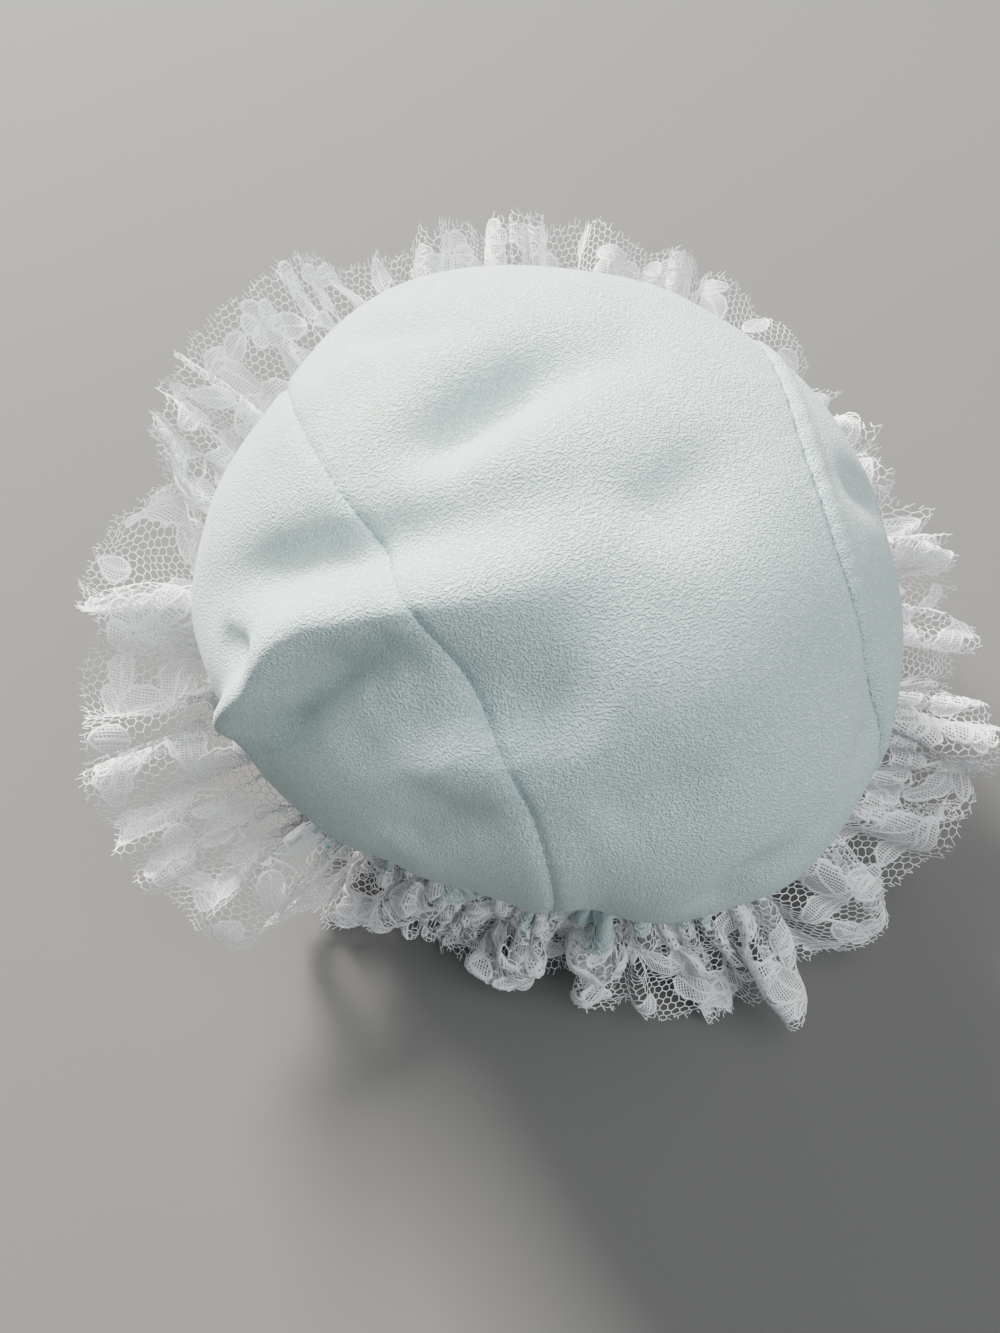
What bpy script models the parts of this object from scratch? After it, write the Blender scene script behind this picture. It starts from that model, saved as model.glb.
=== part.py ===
"""Ruffled mob cap: a puffed crown of three panels, gathered into an elastic casing, with a
fabric brim frill and two gathered lace frills.

Metres, +Z up, +Y towards the forehead, +X towards the wearer's right. The cap stands on
the edge of its lower lace frill, at z = 0.
"""
import bpy
import bmesh
from math import sin, cos, pi, hypot, radians
from mathutils import Vector

MM = 0.001

# Head opening, inside the elastic.
HEAD_WIDTH = 158 * MM
HEAD_LENGTH = 190 * MM

# Crown, outside: how far it puffs out beyond the head, and its heights and panels.
PUFF_AT_SIDES = 43 * MM
PUFF_AT_ENDS = 26 * MM
CROWN_WIDTH = HEAD_WIDTH + 2 * PUFF_AT_SIDES
CROWN_LENGTH = HEAD_LENGTH + 2 * PUFF_AT_ENDS
CROWN_RISE = 106 * MM
CROWN_OVERHANG = 42 * MM
CROWN_CLOTH = 0.8 * MM
PANEL_AT_FRONT = 136 * MM
PANEL_AT_NAPE = 100 * MM

# Seams of the crown.
SEAM_THREAD = 0.6 * MM
ALLOWANCE_WIDTH = 11 * MM
ALLOWANCE_CLOTH = 0.6 * MM

# Elastic and its casing.
ELASTIC_HEIGHT = 10 * MM
ELASTIC_THICKNESS = 1.2 * MM
ELASTIC_OVERLAP = 22 * MM
JOIN_THREAD = 0.4 * MM
CASING_CLOTH = 0.6 * MM
CASING_SLIT = 0.8 * MM

# Frills. A pitch is an angle above level, and a width runs along the slope.
BRIM_WIDTH = 30 * MM
BRIM_CLOTH = 0.6 * MM
LACE_WIDTH = 74 * MM
LACE_THICKNESS = 0.7 * MM
LOWER_EDGE_THICKNESS = 2.4 * MM
LACE_OVERLAP = 7 * MM
FRONT_PITCH = radians(20)
SIDE_PITCH = radians(8)
NAPE_PITCH = radians(-42)
FOLDS = 26
FOLD_HEIGHT = 9 * MM
LOWER_SPREAD = 30 * MM
STAND_HEIGHT = 70 * MM

# Threads.
THREAD = 0.6 * MM
BRIM_HEM = 0.9 * MM
STITCH_MARGIN = 3 * MM
TAIL_LENGTH = 16 * MM
TAIL_SPREAD = radians(7)

# Room left between neighbouring pieces, and between two frills whose folds lie together.
CLEARANCE = 0.3 * MM
FOLD_ROOM = FOLD_HEIGHT / 15

# Divisions.
AROUND = 64
FOLD_STEPS = 6

# Heights and distances that follow from the sizes above. The casing has room inside it for
# the join's stitching, and for the elastic's two layers where its ends overlap.
SEAM_GAP = SEAM_THREAD + 2 * CLEARANCE
CASING_IN = CASING_CLOTH + JOIN_THREAD + 2 * CLEARANCE
CASING_DEPTH = 2 * ELASTIC_THICKNESS + 2 * CASING_IN
CASING_HEIGHT = ELASTIC_HEIGHT + 2 * CASING_IN
CASING_BOTTOM = STAND_HEIGHT
CASING_TOP = CASING_BOTTOM + CASING_HEIGHT
FRILL_ROOT = CASING_BOTTOM + CASING_HEIGHT / 2
RIM_GAP = CLEARANCE + CROWN_CLOTH / 2
CROWN_MIDDLE = CASING_TOP + RIM_GAP + CROWN_OVERHANG
OUT_OF_CASING = CASING_DEPTH + CLEARANCE
LACE_START = BRIM_WIDTH - LACE_OVERLAP
UPPER_REACH = LACE_START + LACE_WIDTH
LACE_LIFT = (BRIM_CLOTH + LACE_THICKNESS) / 2 + FOLD_ROOM
ON_LACE = LACE_LIFT + (LACE_THICKNESS + THREAD) / 2 + CLEARANCE

CLOTHS = {
    "crepe": ((0.62, 0.76, 0.77), 0.82),
    "lace": ((0.84, 0.82, 0.82), 0.75),
    "thread": ((0.60, 0.72, 0.76), 0.60),
    "white_thread": ((0.86, 0.86, 0.86), 0.60),
    "elastic": ((0.85, 0.85, 0.83), 0.70),
}


def clear_scene():
    for thing in list(bpy.data.objects):
        bpy.data.objects.remove(thing, do_unlink=True)


def make_collection(name):
    collection = bpy.data.collections.new(name)
    bpy.context.scene.collection.children.link(collection)
    return collection


def give_material(thing, kind):
    colour, roughness = CLOTHS[kind]
    material = bpy.data.materials.new(thing.name)
    material.use_nodes = True
    shader = material.node_tree.nodes["Principled BSDF"]
    shader.inputs["Base Color"].default_value = (*colour, 1)
    shader.inputs["Roughness"].default_value = roughness
    shader.inputs["Metallic"].default_value = 0
    thing.data.materials.clear()
    thing.data.materials.append(material)


def add_part(name, mesh, kind):
    thing = bpy.data.objects.new(name, mesh)
    thing.parent = middle
    parts.objects.link(thing)
    give_material(thing, kind)
    mesh.shade_smooth()
    return thing


def grid_mesh(name, rows, closed_top=False):
    """A surface through rings of points, from the first row to the last."""
    form = bmesh.new()
    rings = [[form.verts.new(point) for point in row] for row in rows]
    count = len(rings[0])
    for low, high in zip(rings, rings[1:]):
        for i in range(count):
            j = (i + 1) % count
            form.faces.new((low[i], low[j], high[j], high[i]))
    if closed_top:
        pole = form.verts.new(sum((v.co for v in rings[-1]), Vector()) / count)
        for i in range(count):
            form.faces.new((rings[-1][i], rings[-1][(i + 1) % count], pole))
    mesh = bpy.data.meshes.new(name)
    form.to_mesh(mesh)
    form.free()
    return mesh


def thicken(thing, thickness):
    solid = thing.modifiers.new("cloth", "SOLIDIFY")
    solid.thickness = thickness
    solid.offset = 0


def boolean(thing, cutter, operation):
    cut = thing.modifiers.new("cut", "BOOLEAN")
    cut.operation = operation
    cut.object = cutter


def ellipse_point(angle, half_x, half_y, out=0.0):
    """A point on an ellipse, moved outwards along the ellipse's normal."""
    x = half_x * cos(angle)
    y = half_y * sin(angle)
    normal = outward(angle, half_x, half_y)
    return x + out * normal[0], y + out * normal[1]


def outward(angle, half_x, half_y):
    nx = half_y * cos(angle)
    ny = half_x * sin(angle)
    size = hypot(nx, ny)
    return nx / size, ny / size


def head_ring(angle, out):
    """A point on the head opening's ellipse, this far outside it."""
    return ellipse_point(angle, HEAD_WIDTH / 2, HEAD_LENGTH / 2, out)


# ---------------------------------------------------------------- crown

def crown_rings(inset, steps_low=4, steps_high=8):
    """Rings of the crown's surface, this far inside its outer face."""
    rings = []
    rim_out = CASING_DEPTH / 2
    for k in range(steps_low):
        turn = pi / 2 * (1 - k / steps_low)
        ring = []
        for i in range(AROUND):
            angle = 2 * pi * i / AROUND
            rim = head_ring(angle, rim_out)
            wide = ellipse_point(angle, CROWN_WIDTH / 2 - inset, CROWN_LENGTH / 2 - inset)
            share = cos(turn)
            z = CROWN_MIDDLE - (CROWN_OVERHANG - inset) * sin(turn)
            x = rim[0] + (wide[0] - rim[0]) * share
            y = rim[1] + (wide[1] - rim[1]) * share
            ring.append((x, y, z))
        rings.append(ring)
    for k in range(steps_high):
        turn = pi / 2 * k / steps_high
        ring = []
        for i in range(AROUND):
            angle = 2 * pi * i / AROUND
            x, y = ellipse_point(angle, CROWN_WIDTH / 2 - inset, CROWN_LENGTH / 2 - inset)
            z = CROWN_MIDDLE + (CROWN_RISE - inset) * sin(turn)
            ring.append((x * cos(turn), y * cos(turn), z))
        rings.append(ring)
    return rings


def seam_x(y):
    """How far each seam's plane lies from the middle, at this y."""
    slope = (PANEL_AT_FRONT - PANEL_AT_NAPE) / 2 / CROWN_LENGTH
    return (PANEL_AT_FRONT + PANEL_AT_NAPE) / 4 + slope * y


def wall_cutter(name, side, inner, outer):
    """A tall block beside a seam, between these two distances from its plane."""
    far = CROWN_LENGTH
    corners = [
        (side * (seam_x(-far) + inner), -far),
        (side * (seam_x(far) + inner), far),
        (side * (seam_x(far) + outer), far),
        (side * (seam_x(-far) + outer), -far),
    ]
    form = bmesh.new()
    low = [form.verts.new((x, y, -far)) for x, y in corners]
    face = form.faces.new(low)
    top = bmesh.ops.extrude_face_region(form, geom=[face])
    raised = [v for v in top["geom"] if isinstance(v, bmesh.types.BMVert)]
    bmesh.ops.translate(form, vec=(0, 0, 3 * far), verts=raised)
    bmesh.ops.recalc_face_normals(form, faces=form.faces)
    mesh = bpy.data.meshes.new(name)
    form.to_mesh(mesh)
    form.free()
    cutter = bpy.data.objects.new(name, mesh)
    cutter.parent = middle
    cutter.hide_render = True
    cutter.display_type = "WIRE"
    cutters.objects.link(cutter)
    return cutter


def crown_shell(name, inset, thickness, kind):
    mesh = grid_mesh(name, crown_rings(inset + thickness / 2), closed_top=True)
    thing = add_part(name, mesh, kind)
    thicken(thing, thickness)
    return thing


def crown_panels():
    beyond = CROWN_WIDTH
    half = SEAM_GAP / 2
    centre = crown_shell("crown_centre_panel", 0, CROWN_CLOTH, "crepe")
    for side in (-1, 1):
        away = wall_cutter(f"cut_centre_{side}", side, -half, beyond)
        boolean(centre, away, "DIFFERENCE")
    for side, word in ((-1, "left"), (1, "right")):
        panel = crown_shell(f"crown_{word}_panel", 0, CROWN_CLOTH, "crepe")
        inner = wall_cutter(f"keep_{word}", side, half, beyond)
        boolean(panel, inner, "INTERSECT")


def seam_strip(name, side, inset, thickness, width, kind):
    """A strip of the crown's surface, this wide, that follows a seam from rim to rim."""
    strip = crown_shell(name, inset, thickness, kind)
    keep = wall_cutter(f"keep_{name}", side, -width / 2, width / 2)
    boolean(strip, keep, "INTERSECT")


def crown_seams():
    """The turned-in edges behind each seam, and the thread between its panels."""
    behind = CROWN_CLOTH + CLEARANCE
    level = (CROWN_CLOTH - SEAM_THREAD) / 2
    for side, word in ((-1, "left"), (1, "right")):
        allowance = f"{word}_seam_allowance"
        seam_strip(allowance, side, behind, ALLOWANCE_CLOTH, ALLOWANCE_WIDTH, "crepe")
        seam_strip(f"{word}_seam_thread", side, level, SEAM_THREAD, SEAM_THREAD, "thread")


# ---------------------------------------------------------------- tubes

def weld(mesh):
    form = bmesh.new()
    form.from_mesh(mesh)
    bmesh.ops.remove_doubles(form, verts=form.verts, dist=0.01 * MM)
    bmesh.ops.recalc_face_normals(form, faces=form.faces)
    form.to_mesh(mesh)
    form.free()


def tube(name, points, diameter, kind, closed=False):
    """A thread through these points, as a closed mesh."""
    curve = bpy.data.curves.new(name, "CURVE")
    curve.dimensions = "3D"
    curve.bevel_depth = diameter / 2
    curve.bevel_resolution = 0
    curve.use_fill_caps = not closed
    spline = curve.splines.new("POLY")
    spline.points.add(len(points) - 1)
    for slot, point in zip(spline.points, points):
        slot.co = (*point, 1)
    spline.use_cyclic_u = closed
    rough = bpy.data.objects.new(name + "_line", curve)
    bpy.context.scene.collection.objects.link(rough)
    graph = bpy.context.evaluated_depsgraph_get()
    mesh = bpy.data.meshes.new_from_object(rough.evaluated_get(graph))
    bpy.data.objects.remove(rough)
    weld(mesh)
    add_part(name, mesh, kind)


# ---------------------------------------------------------------- elastic and casing

def ring_from_profile(name, profile, kind):
    """A ring round the head opening, from a closed outline of (out, z) points."""
    rows = []
    for out, z in profile + profile[:1]:
        rows.append([(*head_ring(2 * pi * i / AROUND, out), z) for i in range(AROUND)])
    add_ring(name, rows, kind)


def add_ring(name, rows, kind):
    """A closed ring through rows of points whose last row repeats the first."""
    mesh = grid_mesh(name, rows)
    weld(mesh)
    add_part(name, mesh, kind)
    mesh.shade_flat()


def elastic_casing():
    """A folded band round the elastic, open along a slit at its bottom."""
    wall = CASING_CLOTH
    low = CASING_BOTTOM
    high = CASING_TOP
    slit_in = CASING_DEPTH / 2 - CASING_SLIT / 2
    slit_out = CASING_DEPTH / 2 + CASING_SLIT / 2
    profile = [
        (slit_in, low),
        (0, low),
        (0, high),
        (CASING_DEPTH, high),
        (CASING_DEPTH, low),
        (slit_out, low),
        (slit_out, low + wall),
        (CASING_DEPTH - wall, low + wall),
        (CASING_DEPTH - wall, high - wall),
        (wall, high - wall),
        (wall, low + wall),
        (slit_in, low + wall),
    ]
    ring_from_profile("elastic_casing", profile, "crepe")


def overlap_half_angle():
    return ELASTIC_OVERLAP / HEAD_LENGTH


def elastic_outer(angle):
    """The elastic's outer face: two layers thick where its ends overlap at the nape."""
    from_nape = abs((angle % (2 * pi)) - 3 * pi / 2)
    layers = 2 if from_nape <= overlap_half_angle() else 1
    return CASING_IN + layers * ELASTIC_THICKNESS


def elastic_band():
    low = CASING_BOTTOM + CASING_IN
    high = low + ELASTIC_HEIGHT
    angles = [2 * pi * i / AROUND for i in range(AROUND)]
    inner_low = [(*head_ring(a, CASING_IN), low) for a in angles]
    inner_high = [(*head_ring(a, CASING_IN), high) for a in angles]
    outer_high = [(*head_ring(a, elastic_outer(a)), high) for a in angles]
    outer_low = [(*head_ring(a, elastic_outer(a)), low) for a in angles]
    rows = [inner_low, inner_high, outer_high, outer_low, inner_low]
    add_ring("elastic_band", rows, "elastic")


def elastic_join_stitching():
    """A zigzag of thread through the overlapped ends, on the side towards the head."""
    out = CASING_IN - CLEARANCE - JOIN_THREAD / 2
    low = CASING_BOTTOM + CASING_IN + JOIN_THREAD
    high = CASING_TOP - CASING_IN - JOIN_THREAD
    turns = 9
    points = []
    for k in range(turns):
        angle = -pi / 2 + 0.8 * overlap_half_angle() * (2 * k / (turns - 1) - 1)
        points.append((*head_ring(angle, out), high if k % 2 else low))
    tube("elastic_join_stitching", points, JOIN_THREAD, "white_thread")


# ---------------------------------------------------------------- frills

def pitch_at(angle):
    """The upper frills' slope: raised at the forehead and drooping at the nape."""
    end = FRONT_PITCH if sin(angle) > 0 else NAPE_PITCH
    return SIDE_PITCH + (end - SIDE_PITCH) * sin(angle) ** 2


def frill_point(angle, along, lift):
    """A point this far along the upper frills' slope, and this far above their sheet."""
    nx, ny = outward(angle, HEAD_WIDTH / 2, HEAD_LENGTH / 2)
    pitch = pitch_at(angle)
    wave = FOLD_HEIGHT * (along / UPPER_REACH) ** 1.2 * sin(FOLDS * angle)
    rise = lift + wave
    x, y = head_ring(angle, OUT_OF_CASING)
    out = along * cos(pitch) - rise * sin(pitch)
    z = FRILL_ROOT + along * sin(pitch) + rise * cos(pitch)
    return x + nx * out, y + ny * out, z


def fold_angles():
    count = FOLDS * FOLD_STEPS
    return [2 * pi * i / count for i in range(count)]


def frill(name, start, end, lift, steps, thickness, kind):
    """A gathered strip that follows the folds, between these distances from the casing."""
    rows = []
    for k in range(steps + 1):
        along = start + (end - start) * k / steps
        rows.append([frill_point(angle, along, lift) for angle in fold_angles()])
    thicken(add_part(name, grid_mesh(name, rows), kind), thickness)


def upper_frills():
    frill("brim_frill", 0, BRIM_WIDTH, 0, 2, BRIM_CLOTH, "crepe")
    frill("upper_lace_frill", LACE_START, UPPER_REACH, LACE_LIFT, 4, LACE_THICKNESS, "lace")


def lower_lace_point(angle, share):
    """A point of the lower frill, from the casing at share 0 to its edge at share 1."""
    nx, ny = outward(angle, HEAD_WIDTH / 2, HEAD_LENGTH / 2)
    wave = 0.8 * FOLD_HEIGHT * share * sin(FOLDS * angle)
    top = CASING_BOTTOM - CLEARANCE
    x, y = head_ring(angle, CASING_DEPTH / 2)
    out = LOWER_SPREAD * share + wave
    return x + nx * out, y + ny * out, top * (1 - share)


def lower_lace(steps=3):
    """The frill that hangs to the surface, thicker at its flat lower edge."""
    shares = [k / steps for k in range(steps + 1)]
    faces = [(share, -1) for share in shares] + [(share, 1) for share in reversed(shares)]
    rows = []
    for share, side in faces + faces[:1]:
        thick = LACE_THICKNESS + (LOWER_EDGE_THICKNESS - LACE_THICKNESS) * share
        row = []
        for angle in fold_angles():
            nx, ny = outward(angle, HEAD_WIDTH / 2, HEAD_LENGTH / 2)
            x, y, z = lower_lace_point(angle, share)
            off = side * thick / 2
            row.append((x + nx * off, y + ny * off, z))
        rows.append(row)
    mesh = grid_mesh("lower_lace_frill", rows)
    weld(mesh)
    add_part("lower_lace_frill", mesh, "lace")


# ---------------------------------------------------------------- stitching

def casing_stitching():
    """Threads round the outside of the casing, at the crown's gathers and at its fold."""
    out = OUT_OF_CASING + THREAD / 2
    heights = {
        "crown_gathering_thread": CASING_TOP - THREAD / 2,
        "casing_fold_stitching": CASING_BOTTOM + STITCH_MARGIN / 2,
    }
    for name, z in heights.items():
        points = [(*head_ring(2 * pi * i / AROUND, out), z) for i in range(AROUND)]
        tube(name, points, THREAD, "thread", closed=True)


def frill_thread(name, along, lift, diameter, kind):
    points = [frill_point(angle, along, lift) for angle in fold_angles()]
    tube(name, points, diameter, kind, closed=True)


def frill_stitching():
    on_brim = (BRIM_CLOTH + THREAD) / 2 + CLEARANCE
    hem_at = BRIM_WIDTH + CLEARANCE + BRIM_HEM / 2
    stitched_at = LACE_START + STITCH_MARGIN
    frill_thread("brim_gathering_thread", STITCH_MARGIN, on_brim, THREAD, "thread")
    frill_thread("brim_rolled_hem", hem_at, 0, BRIM_HEM, "crepe")
    frill_thread("upper_lace_stitching", stitched_at, ON_LACE, THREAD, "white_thread")


def lower_lace_stitching():
    share = STITCH_MARGIN / CASING_BOTTOM
    off = LACE_THICKNESS + CLEARANCE + THREAD / 2
    points = []
    for angle in fold_angles():
        nx, ny = outward(angle, HEAD_WIDTH / 2, HEAD_LENGTH / 2)
        x, y, z = lower_lace_point(angle, share)
        points.append((x + nx * off, y + ny * off, z))
    tube("lower_lace_stitching", points, THREAD, "white_thread", closed=True)


def thread_tails(steps=6):
    """Two loose ends of the lace's thread, at the nape, that curl up off the lace."""
    start = LACE_START + STITCH_MARGIN + THREAD + CLEARANCE
    for side, word in ((-1, "left"), (1, "right")):
        points = []
        for k in range(steps + 1):
            share = k / steps
            angle = -pi / 2 + side * TAIL_SPREAD * (1 + share) / 2
            lift = ON_LACE + TAIL_LENGTH * 0.3 * share ** 2
            points.append(frill_point(angle, start + 0.85 * TAIL_LENGTH * share, lift))
        tube(f"{word}_thread_tail", points, THREAD, "white_thread")


def middle_of_frills():
    """Half way between the upper frill's furthest points at the forehead and the nape."""
    edge = [frill_point(angle, UPPER_REACH, LACE_LIFT)[1] for angle in fold_angles()]
    return (max(edge) + min(edge)) / 2


def build():
    crown_panels()
    crown_seams()
    elastic_casing()
    elastic_band()
    elastic_join_stitching()
    upper_frills()
    lower_lace()
    casing_stitching()
    frill_stitching()
    lower_lace_stitching()
    thread_tails()


clear_scene()
parts = make_collection("ruffled_mob_cap")
cutters = make_collection("cutters")
middle = bpy.data.objects.new("cap_middle", None)
middle.location.y = -middle_of_frills()
parts.objects.link(middle)
build()
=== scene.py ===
from math import cos, pi, radians, sin

import bmesh
import bpy
import numpy as np
from mathutils import Matrix, Vector


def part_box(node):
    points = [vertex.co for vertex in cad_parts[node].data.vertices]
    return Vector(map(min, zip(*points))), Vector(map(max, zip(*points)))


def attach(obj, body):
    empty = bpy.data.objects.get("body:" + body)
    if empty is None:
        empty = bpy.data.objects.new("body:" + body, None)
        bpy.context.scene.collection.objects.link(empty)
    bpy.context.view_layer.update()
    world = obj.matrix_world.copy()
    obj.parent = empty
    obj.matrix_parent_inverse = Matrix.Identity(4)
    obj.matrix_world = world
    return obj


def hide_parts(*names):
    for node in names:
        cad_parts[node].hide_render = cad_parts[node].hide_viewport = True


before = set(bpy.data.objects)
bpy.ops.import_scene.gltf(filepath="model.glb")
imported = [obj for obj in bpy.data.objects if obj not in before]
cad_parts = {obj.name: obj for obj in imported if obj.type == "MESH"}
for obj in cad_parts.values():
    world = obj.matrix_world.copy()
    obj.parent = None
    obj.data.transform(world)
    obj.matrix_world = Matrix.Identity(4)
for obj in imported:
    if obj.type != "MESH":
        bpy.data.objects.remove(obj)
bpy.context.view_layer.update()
mm = 0.001
print("frame loaded")


# Places that follow from the frame

casingLow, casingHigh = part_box("elastic_casing")
crownLow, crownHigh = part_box("crown_centre_panel")
sideLow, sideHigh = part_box("crown_right_panel")
casingDepth = 5.6 * mm
middle = np.array([0, (casingLow.y + casingHigh.y) / 2, 0])     # the cap's own middle line
headX = casingHigh.x - casingDepth      # half the head opening, across
headY = (casingHigh.y - casingLow.y) / 2 - casingDepth      # and from front to back
crownX = sideHigh.x
crownY = (crownHigh.y - crownLow.y) / 2
rimZ = crownLow.z + 0.4 * mm


# The camera, from above and a little to the wearer's left

cameraPlan = {
    "lens": 27.03,
    "azimuth": -24,
    "elevation": 70,
    "distance": 0.36,
    "aside": 0.0162,
    "lower": 0.0246,
    "target": 0.126,        # the height that it turns about
}


def aimed(place, ahead):        # a place and turn that looks along this direction
    return Matrix.Translation(place) @ ahead.to_track_quat("-Z", "Y").to_matrix().to_4x4()


def placeCamera(plan):
    turn = radians(plan["azimuth"])
    tilt = radians(plan["elevation"])
    right = Vector((cos(turn), sin(turn), 0))
    back = Vector((sin(turn) * cos(tilt), -cos(turn) * cos(tilt), sin(tilt)))
    up = back.cross(right)
    eye = Vector((0, middle[1], plan["target"])) + back * plan["distance"]
    eye -= right * plan["aside"] + up * plan["lower"]
    lens = bpy.data.cameras.new("camera")
    lens.lens = plan["lens"]
    lens.clip_start = 0.01
    thing = bpy.data.objects.new("camera", lens)
    thing.matrix_world = aimed(eye, -back)
    bpy.context.scene.collection.objects.link(thing)
    bpy.context.scene.camera = thing


placeCamera(cameraPlan)
print("camera placed")


# Materials: Wire holds a socket, so that maths on it adds its own nodes

class Wire:
    def __init__(self, finish, socket):
        self.finish = finish
        self.socket = socket

    def maths(self, operation, first, second=None):
        return self.finish.add("ShaderNodeMath", {"operation": operation}, {0: first, 1: second})

    def __add__(self, other):
        return self.maths("ADD", self, other)

    __radd__ = __add__

    def __mul__(self, other):
        return self.maths("MULTIPLY", self, other)

    __rmul__ = __mul__

    def __sub__(self, other):
        return self.maths("SUBTRACT", self, other)

    def __rsub__(self, other):
        return self.maths("SUBTRACT", other, self)


class Finish:
    def __init__(self, name):
        self.material = bpy.data.materials.new(name)
        self.material.use_nodes = True
        self.nodes = self.material.node_tree.nodes
        self.links = self.material.node_tree.links
        self.shader = self.nodes["Principled BSDF"]

    def add(self, kind, settings, inputs, output=0):
        node = self.nodes.new(kind)
        for key, value in settings.items():
            setattr(node, key, value)
        for key, value in inputs.items():
            self.feed(node.inputs[key], value)
        return Wire(self, node.outputs[output])

    def feed(self, socket, value):
        if isinstance(value, Wire):
            self.links.new(value.socket, socket)
        elif hasattr(value, "__len__") and len(socket.default_value) == 4:      # a colour without its alpha
            socket.default_value = (*value, 1)
        elif value is not None:
            socket.default_value = value

    def fixed(self, **values):      # what is the same all over the surface
        for key, value in values.items():
            self.feed(self.shader.inputs[key.replace("_", " ")], value)

    def surface(self, colour, roughness, height, strength, depth):
        self.feed(self.shader.inputs["Base Color"], colour)
        self.feed(self.shader.inputs["Roughness"], roughness)
        sizes = {"Strength": strength, "Distance": depth, "Height": height}
        bump = self.add("ShaderNodeBump", {}, sizes, "Normal")
        self.feed(self.shader.inputs["Normal"], bump)
        return self.material

    def place(self, stretch=(1, 1, 1)):
        point = self.add("ShaderNodeTexCoord", {}, {}, "Object")
        return self.add("ShaderNodeMapping", {}, {"Vector": point, "Scale": stretch})

    def noise(self, where, scale, detail=2):
        values = {"Vector": where, "Scale": scale, "Detail": detail, "Roughness": 0.5}
        return self.add("ShaderNodeTexNoise", {}, values, "Fac")

    def mix(self, share, low, high):
        return self.add("ShaderNodeMix", {"data_type": "RGBA"}, {0: share, 6: low, 7: high}, 2)

    def spread(self, value, low, high):     # a value moved to run from 0 to 1 between these two
        return self.add("ShaderNodeMapRange", {}, {0: value, 1: low, 2: high})


crepeFinish = {
    "light": (0.76, 0.89, 0.855),
    "deep": (0.40, 0.61, 0.63),
    "grain": 1500,
    "patches": 22,
    "stain": (0.74, 0.78, 0.62),
    "stainAt": (-39 * mm, middle[1] + 34 * mm, rimZ + 138 * mm),
    "stainSize": 15 * mm,
    "relief": 0.95,
}


def crepeCloth(name, plan):
    cloth = Finish(name)
    across = cloth.noise(cloth.place((0.62, 1.2, 1)), plan["grain"], 1)
    along = cloth.noise(cloth.place((1.2, 0.62, 1.2)), plan["grain"], 1)
    pebble = across * 0.5 + along * 0.5
    patches = cloth.noise(cloth.place(), plan["patches"], 3)
    grain = cloth.spread(pebble, 0.40, 0.60)
    tone = cloth.spread(patches, 0.3, 0.7) * 0.2 + grain * 0.6 + 0.25
    colour = cloth.mix(tone, plan["deep"], plan["light"])
    ends = {0: cloth.place(), 1: plan["stainAt"]}
    away = cloth.add("ShaderNodeVectorMath", {"operation": "DISTANCE"}, ends, "Value")
    ragged = away + cloth.noise(cloth.place(), 110, 2) * plan["stainSize"]
    marked = 1 - cloth.spread(ragged, plan["stainSize"] * 0.5, plan["stainSize"] * 1.5)
    colour = cloth.mix(marked * 0.5, colour, plan["stain"])
    roughness = 0.92 - grain * 0.14
    cloth.fixed(Sheen_Weight=0.3, Sheen_Roughness=0.5, Specular_IOR_Level=0.25)
    return cloth.surface(colour, roughness, grain, plan["relief"], 0.5 * mm)


laceFinish = {
    "light": (0.95, 0.945, 0.94),
    "deep": (0.84, 0.855, 0.88),
    "grain": 2600,
}


def laceThreads(name, plan):
    thread = Finish(name)
    fibre = thread.noise(thread.place(), plan["grain"], 2)
    patches = thread.noise(thread.place(), 60, 2)
    tone = thread.spread(fibre, 0.3, 0.6) * 0.6 + thread.spread(patches, 0.35, 0.65) * 0.4
    colour = thread.mix(tone, plan["deep"], plan["light"])
    thread.fixed(Sheen_Weight=0.25, Sheen_Roughness=0.4, Specular_IOR_Level=0.35)
    return thread.surface(colour, 0.78 - fibre * 0.2, fibre, 0.4, 0.15 * mm)


threadFinish = {
    "twist": 1500,
    "aqua": ((0.34, 0.52, 0.58), (0.20, 0.36, 0.42)),       # the light and the deep of each
    "white": ((0.86, 0.86, 0.86), (0.62, 0.64, 0.66)),
}


def sewingThread(name, plan, shade):
    light, deep = plan[shade]
    thread = Finish(name)
    ply = thread.noise(thread.place((1, 1, 0.4)), plan["twist"], 2)
    tone = thread.spread(ply, 0.35, 0.65)
    colour = thread.mix(tone, deep, light)
    thread.fixed(Sheen_Weight=0.2, Specular_IOR_Level=0.4)
    return thread.surface(colour, 0.7 - tone * 0.2, ply, 0.5, 0.1 * mm)


elasticFinish = {
    "ribs": 420,
    "loops": 380,
    "deep": (0.62, 0.62, 0.60),
    "light": (0.86, 0.86, 0.84),
}


def knitElastic(name, plan):
    knit = Finish(name)
    ribs = knit.noise(knit.place((0.25, 0.25, 3)), plan["ribs"], 1)
    loops = knit.noise(knit.place((3, 3, 0.5)), plan["loops"], 2)
    height = knit.spread(ribs, 0.35, 0.65) * 0.6 + knit.spread(loops, 0.35, 0.65) * 0.4
    colour = knit.mix(height, plan["deep"], plan["light"])
    return knit.surface(colour, 0.85 - height * 0.15, height, 0.6, 0.3 * mm)


crepe = crepeCloth("crepe", crepeFinish)
lace = laceThreads("lace", laceFinish)
aquaThread = sewingThread("aqua_thread", threadFinish, "aqua")
whiteThread = sewingThread("white_thread", threadFinish, "white")
elastic = knitElastic("elastic", elasticFinish)
print("materials made")


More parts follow.
